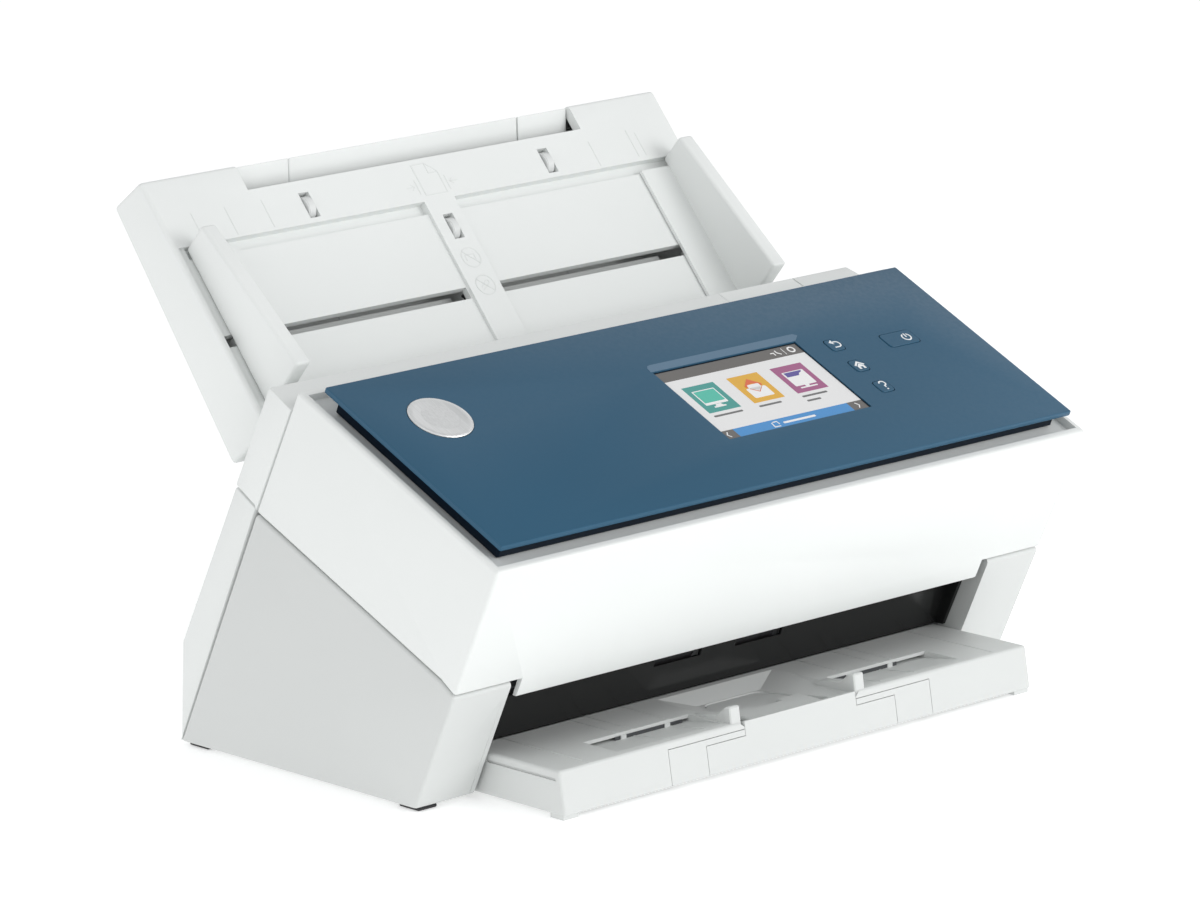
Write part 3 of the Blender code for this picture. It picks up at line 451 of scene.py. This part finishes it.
layer("display_field", FIELD, 0, [box(-12.7, 80.7, -96.8, -39.9)])
layer("display_bars", DISPLAY_GREY, 1, [
    box(-12.7, 80.7, -47.4, -39.9), box(-12.7, -4.9, -96.8, -90.0), box(70.7, 80.7, -96.8, -90.0),
])
layer("display_bar_middle", DISPLAY_BLUE, 1, [box(-4.9, 70.7, -96.8, -90.0)])
layer("display_tile_left", DISPLAY_TEAL, 1, [box(-7.1, 13.5, -75.7, -54.1)])
layer("display_tile_middle", DISPLAY_AMBER, 1, [box(22.4, 42.5, -75.7, -54.1)])
layer("display_tile_right", DISPLAY_PLUM, 1, [box(51.2, 71.7, -75.7, -54.1)])
layer("display_labels", DISPLAY_LABEL, 1, [
    box(-6.6, 12.0, -79.3, -78.0, 0.5), box(23.0, 37.6, -79.3, -78.0, 0.5),
    box(51.6, 68.0, -79.3, -78.0, 0.5), box(51.6, 60.6, -83.0, -81.7, 0.5),
])
layer("display_glyphs", DISPLAY_WHITE, 2, [
    box(-4.2, 10.2, -70.0, -58.2, 0.5), [(1.4, -70.2), (4.6, -70.2), (5.4, -71.6), (0.6, -71.6)],
    box(-0.8, 6.8, -72.7, -71.7, 0.4),
    box(26.2, 38.8, -72.4, -64.6, 0.8),
    [(28.6, -62.0), (36.4, -62.0), (36.4, -65.2), (32.5, -68.4), (28.6, -65.2)],
    box(54.6, 68.4, -70.6, -59.0, 0.6), box(60.2, 62.8, -72.0, -70.6), box(56.2, 67.4, -72.8, -71.9, 0.4),
], [
    (arc((75.1, -43.5), 1.9, 0, 340, 18), 0.9, True),
    ([(69.9, -41.2), (69.9, -46.2)], 0.35, False),
    ([(63.2, -45.4), (63.2, -43.4), (61.2, -43.4)], 0.7, False),
    ([(65.2, -41.8), (65.2, -43.6), (67.2, -45.4)], 0.7, False),
    ([(-9.6, -91.4), (-11.0, -93.4), (-9.6, -95.4)], 0.6, False),
    ([(75.0, -91.4), (76.4, -93.4), (75.0, -95.4)], 0.6, False),
    ([(19.0, -92.0), (18.6, -95.4), (22.4, -95.4)], 0.6, False),
    ([(19.8, -91.8), (22.6, -91.8), (22.8, -94.0)], 0.6, False),
])
layer("display_bar_words", DISPLAY_WHITE, 2, [box(25.6, 46.8, -94.4, -93.0, 0.5)])
layer("display_inner_mint", DISPLAY_MINT, 3, [box(-3.5, 9.5, -68.2, -58.9, 0.2)])
layer("display_inner_orange", DISPLAY_ORANGE, 3, [
    [
        (27.2, -62.6), (32.6, -57.6), (38.0, -62.6), (37.2, -64.4),
        (36.2, -62.2), (32.6, -61.4), (29.0, -62.2), (28.0, -64.4),
    ],
], [([(28.6, -65.0), (32.5, -68.3), (36.4, -65.0)], 0.35, False)])
layer("display_inner_violet", DISPLAY_VIOLET, 3, [
    [(55.6, -59.6), (67.2, -59.6), (66.0, -60.9), (64.4, -61.4), (63.2, -63.0), (55.6, -63.0)],
])

bm = bmesh.new()
plate(bm, [
    (-14.0, -38.8), (-13.6, -35.6), (-12.2, -33.9), (-10.6, -33.5),
    (84.4, -33.5), (86.4, -35.2), (82.0, -38.8),
], -0.05, 0.10)
piece("display_brow", bm, PANEL, "hatch", BLUE_LIGHT)

bm = bmesh.new()
strip(bm, [(-13.0, -97.1), (-13.0, -39.5), (81.0, -39.5), (81.0, -97.1)], 0.28, -1.4, -0.55, True)
piece("display_seal", bm, PANEL, "hatch", FINISHES["navy_gloss"])


# Key icons and badge -----------------------------------------------------------------------


def icon(name, body, outlines=(), lines=()):
    bm = bmesh.new()
    for outline in outlines:
        plate(bm, outline, 0.30, 0.42)
    for points, width in lines:
        strip(bm, points, width, 0.30, 0.42)
    return piece(name, bm, PANEL, body, ICON_WHITE, smooth=False)


icon("back_icon", "back_key", [[(98.0, -46.0), (100.3, -44.2), (100.3, -47.8)]], [
    ([(100.0, -46.0), *arc((101.6, -48.1), 2.1, 90, -90, 14), (99.0, -50.2)], 0.75),
])
icon("home_icon", "home_key", [
    [(97.3, -66.4), (100.6, -63.4), (103.9, -66.4), (103.0, -67.0), (100.6, -64.9), (98.2, -67.0)],
    [
        (98.5, -67.3), (100.6, -65.4), (102.7, -67.3), (102.7, -69.6), (101.4, -69.6),
        (101.4, -67.9), (99.8, -67.9), (99.8, -69.6), (98.5, -69.6),
    ],
])
icon("help_icon", "help_key", [box(100.35, 101.25, -88.3, -87.4)], [
    ([*arc((100.8, -83.3), 1.75, 165, -50, 14), (100.8, -85.2), (100.8, -86.4)], 0.8),
])
icon("power_icon", "power_key", (), [
    (arc((144.4, -53.9), 2.5, 118, 422, 26), 0.75), ([(144.4, -51.0), (144.4, -54.0)], 0.75),
])

BADGE_CENTRE = (-146.6, -38.4)
BADGE_PROFILE = (
    (0, 0.44), (12.6, 0.52), (13.2, 0.70), (13.8, 0.74), (14.6, 0.72), (15.2, 0.56), (15.3, 0.40), (0, 0.40),
)
bm = bmesh.new()
turned(bm, BADGE_PROFILE, BADGE_CENTRE, 72)
piece("badge_face", bm, PANEL, "hatch", FINISHES["badge_metal"])


# Input tray: embossed marks ----------------------------------------------------------------

EMBOSS = (-0.05, 0.16)


def emboss(name, lines):
    """Raised lines on the tray's paper floor, in a slightly darker white that is painted shade: (points,
    width, closed) each.
    """
    bm = bmesh.new()
    for points, width, closed in lines:
        strip(bm, points, width, *EMBOSS, closed)
    return piece(name, bm, FLOOR, "sheet_tray", EMBOSS_PAINTED_SHADE_WHITE, smooth=False)


emboss("size_marks", [
    ([(x, -near), (x, -far)], 0.45, False)
    for x, near, far in (
        (-148.4, 21.2, 32.2), (-127.6, 21.2, 37.4), (-104.6, 21.2, 37.0), (109.3, 22.4, 37.4),
        (136.4, 20.0, 36.0), (141.4, 22.0, 36.0),
    )
])
emboss("sheet_mark", [
    ([(-6.6, -17.6), (-6.6, -35.4), (7.4, -35.4), (7.4, -23.2), (1.6, -17.6)], 0.5, True),
    ([(1.6, -17.8), (1.6, -23.4), (7.2, -23.4)], 0.4, False),
    ([(-9.4, -26.0), (-9.4, -34.4)], 0.5, False), ([(10.2, -26.0), (10.2, -34.4)], 0.5, False),
    ([(-16.0, -29.8), (-11.2, -29.8)], 0.45, False),
    ([(-13.0, -28.2), (-11.2, -29.8), (-13.0, -31.4)], 0.45, False),
    ([(16.8, -29.8), (12.0, -29.8)], 0.45, False),
    ([(13.8, -28.2), (12.0, -29.8), (13.8, -31.4)], 0.45, False),
])
for label, y in (("staple", -73.2), ("clip", -89.4)):
    inner = [(-2.8, y - 1.6), (-2.8, y + 1.6), (2.8, y + 1.6), (2.8, y - 1.6)]
    if label == "clip":
        bend = arc((2.0, y + 1.4), 1.2, 90, -60, 6)
        inner = [(-2.6, y - 0.9), (1.8, y + 2.6), *bend, (-2.2, y - 2.6)]
    emboss(f"no_{label}_mark", [
        (arc((0.4, y), 5.6, 0, 350, 35), 0.55, True),
        ([(-3.6, y + 4.0), (4.4, y - 4.0)], 0.5, False), (inner, 0.45, False),
    ])


bm = bmesh.new()
for side in (-1, 1):
    x0, x1 = sorted((side * 12.4, side * 127.0))
    plate(bm, box(x0, x1, -95.6, -86.6), -13.5, -13.1)
SLOT_GREY = moulded("slot_grey", (0.66, 0.68, 0.67), 0.55, 0.4, 0.3, 0.03)
piece("slot_bed", bm, FLOOR, "sheet_tray", SLOT_GREY, smooth=False)


# Output tray: fine ribs --------------------------------------------------------------------

OUTPUT_TOP = 23.1
RAMP_FRONT, RAMP_TOP = -145.0, 23.6
RAMP_LONG, RAMP_DROP = 26.5, 3.7
LIP_Y, RIB_REAR = -118.0, -85.0

bm = bmesh.new()
for side in (-1, 1):
    for x, front in ((133.5, -145.2), (90.6, LIP_Y), (81.2, LIP_Y), (58.0, LIP_Y)):
        strip(bm, [(side * x, front), (side * x, RIB_REAR)], 0.9, OUTPUT_TOP, OUTPUT_TOP + 0.35)
piece("output_ribs", bm, WORLD, "base", LOWER_WHITE_PAINTED_SHADE, bevel=0.12)
bm = bmesh.new()
dip = slope_frame(RAMP_FRONT, RAMP_TOP, -math.degrees(math.atan2(RAMP_DROP, RAMP_LONG)))
for side in (-1, 1):
    for x in (58.0, 81.2):
        strip(bm, [(side * x, 1.8), (side * x, 26.2)], 0.8, -0.05, 0.3)
piece("output_ramp_ribs", bm, dip, "base", LOWER_WHITE_PAINTED_SHADE, bevel=0.1)


# The gap under the front lip of each ramp, bridged by two small ribs; the thin dark plate set in the gap is
# painted shadow.
bm, ribs = bmesh.new(), bmesh.new()
for side in (-1, 1):
    x0, x1 = sorted((side * 50.0, side * 93.0))
    plate(bm, box(x0, x1, -118.95, -118.6), 19.6, 21.7)
    for x in (60.0, 88.0):
        plate(ribs, box(side * x - 1.6, side * x + 1.6, -119.6, -118.5), 19.4, 21.9)
piece("output_lip_gap_painted_shadow", bm, WORLD, "base", FINISHES["dark_plastic"], smooth=False)
piece("output_lip_ribs", ribs, WORLD, "base", LOWER_WHITE_PAINTED_SHADE, smooth=False)


# Rear, underside and inside ----------------------------------------------------------------

def screws(name, places, place, body):
    """Pan-head screws with a cross recess."""
    heads, marks = bmesh.new(), bmesh.new()
    for x, y in places:
        turned(heads, ((0, -0.5), (3.0, -0.5), (3.0, 0.35), (2.5, 0.85), (1.4, 1.1), (0, 1.15)), (x, y), 24)
        for turn in (45, 135):
            run = Vector((math.cos(math.radians(turn)), math.sin(math.radians(turn)))) * 1.5
            strip(marks, [(x - run.x, y - run.y), (x + run.x, y + run.y)], 0.6, 0.9, 1.2)
    piece(name, heads, place, body, GREY_STEEL)
    piece(name + "_recess", marks, place, body, FINISHES["dark_plastic"], smooth=False)


UNDER = Matrix.Translation((0, 0, 2.0 * MM)) @ Matrix.Rotation(math.radians(180), 4, "X")
screws("base_screws", [(x, y) for x in (-165, 0, 165) for y in (-66, 78)], UNDER, "base")

PLATE_GREY = moulded("plate_grey", (0.55, 0.56, 0.57), 0.38, 0.3, 0.1, 0.02)
bm = bmesh.new()
plate(bm, box(-48, 48, -44, 12, 3), -0.1, 0.25)
piece("underside_plate", bm, UNDER, "base", PLATE_GREY, bevel=0.1)

bm = bmesh.new()
for side in (-1, 1):
    for x in (46, 60, 74, 128, 142):
        strip(bm, [(side * x, -2.0), (side * x, -36)], 0.8, -0.05, 0.35)
        strip(bm, [(side * x, -84), (side * x, -134)], 0.8, -0.05, 0.35)
piece("path_ribs", bm, PATH, "base", FINISHES["dark_plastic"], bevel=0.12)

BOARD_TOP = 22.5
CONNECTORS = (
    (-148, -138, 12, 58, 30), (-98, -92, 14, 24, 27), (-84, -76, 10, 18, 25.5),
    (-62, -56, 10, 14, 24.5), (-50, -30, 46, 60, 30), (-26, -14, 36, 60, 28),
)
CAPACITORS = ((-100, 50, 4, 33), (-90, 50, 4, 33), (-104, 40, 3, 30), (-22, 14, 4.5, 31), (-34, 12, 3, 29))
CAN_METAL = brushed("can_metal", (0.7, 0.71, 0.73), 0.3, (300, 300, 300))
bm = bmesh.new()
for x0, x1, y0, y1, high in CONNECTORS:
    plate(bm, box(x0, x1, y0, y1, 0.4), BOARD_TOP, high)
piece("board_connectors", bm, WORLD, "base", FINISHES["black_gloss"], bevel=0.3)
bm = bmesh.new()
for x, y, r, high in CAPACITORS:
    profile = ((0, BOARD_TOP), (r, BOARD_TOP), (r, high - 0.6), (r - 0.6, high), (0, high))
    turned(bm, profile, (x, y), 24)
piece("board_capacitors", bm, WORLD, "base", CAN_METAL)
bm = bmesh.new()
for row in range(12):
    plate(bm, box(-147, -145.6, 13 + row * 3.8, 14.2 + row * 3.8), 29.9, 30.6)
piece("board_contacts", bm, WORLD, "base", COPPER, smooth=False)


# Studio ------------------------------------------------------------------------------------


def studio_floor():
    mesh = bpy.data.meshes.new("studio_floor")
    reach, level = 30.0, -0.0002
    corners = [(x * reach, y * reach, level) for x, y in ((-1, -1), (1, -1), (1, 1), (-1, 1))]
    mesh.from_pydata(corners, [], [(0, 1, 2, 3)])
    floor = bpy.data.objects.new("studio_floor", mesh)
    bpy.context.scene.collection.objects.link(floor)
    look = Finish("studio_floor", 0.6, specular=0.2)
    look.colour(look.ramp(look.noise(3.0, 2.0), ((0.3, (0.86, 0.865, 0.865)), (0.7, (0.875, 0.88, 0.88)))))
    look.shader.inputs["Emission Color"].default_value = (1, 1, 1, 1)
    look.shader.inputs["Emission Strength"].default_value = 0.40
    mesh.materials.append(look.material)


def area(name, place, target, size, watts):
    light = bpy.data.lights.new(name, "AREA")
    light.shape = "DISK"
    light.size = size
    light.energy = watts
    lamp = bpy.data.objects.new(name, light)
    lamp.location = place
    aim = Vector(target) - Vector(place)
    lamp.rotation_euler = aim.to_track_quat("-Z", "Y").to_euler()
    bpy.context.scene.collection.objects.link(lamp)


def sky():
    world = bpy.data.worlds.new("studio")
    world.use_nodes = True
    tree = world.node_tree
    back = tree.nodes["Background"]
    place = tree.nodes.new("ShaderNodeTexCoord")
    split = tree.nodes.new("ShaderNodeSeparateXYZ")
    ramp = tree.nodes.new("ShaderNodeValToRGB")
    ramp.color_ramp.elements[0].position, ramp.color_ramp.elements[0].color = 0.10, (1, 1, 1, 1)
    ramp.color_ramp.elements[1].position, ramp.color_ramp.elements[1].color = 0.85, (0.56, 0.565, 0.57, 1)
    tree.links.new(place.outputs["Generated"], split.inputs["Vector"])
    tree.links.new(split.outputs["Z"], ramp.inputs["Fac"])
    tree.links.new(ramp.outputs["Color"], back.inputs["Color"])
    back.inputs["Strength"].default_value = 1.0
    bpy.context.scene.world = world


def camera():
    azimuth, elevation, roll = 0.7349070, 0.2266294, -0.0242089
    level = math.cos(elevation)
    ahead = Vector((math.sin(azimuth) * level, math.cos(azimuth) * level, -math.sin(elevation)))
    aside = ahead.cross(Vector((0, 0, 1))).normalized()
    up = aside.cross(ahead)
    right = math.cos(roll) * aside + math.sin(roll) * up
    top = math.cos(roll) * up - math.sin(roll) * aside
    turn = Matrix((right, top, -ahead)).transposed().to_4x4()
    data = bpy.data.cameras.new("camera")
    data.sensor_width = 36
    data.lens = 190.82
    data.clip_start, data.clip_end = 0.05, 100
    made = bpy.data.objects.new("camera", data)
    made.matrix_world = Matrix.Translation((-2.01908, -2.24434, 0.82087)) @ turn
    bpy.context.scene.collection.objects.link(made)
    bpy.context.scene.camera = made


studio_floor()
sky()
area("key", (1.2, -2.7, 1.15), (0, -0.02, 0.12), 1.8, 33)
area("fill", (-2.6, -0.6, 1.2), (0, 0, 0.12), 2.2, 9)
camera()
bpy.context.scene.view_settings.view_transform = "Standard"
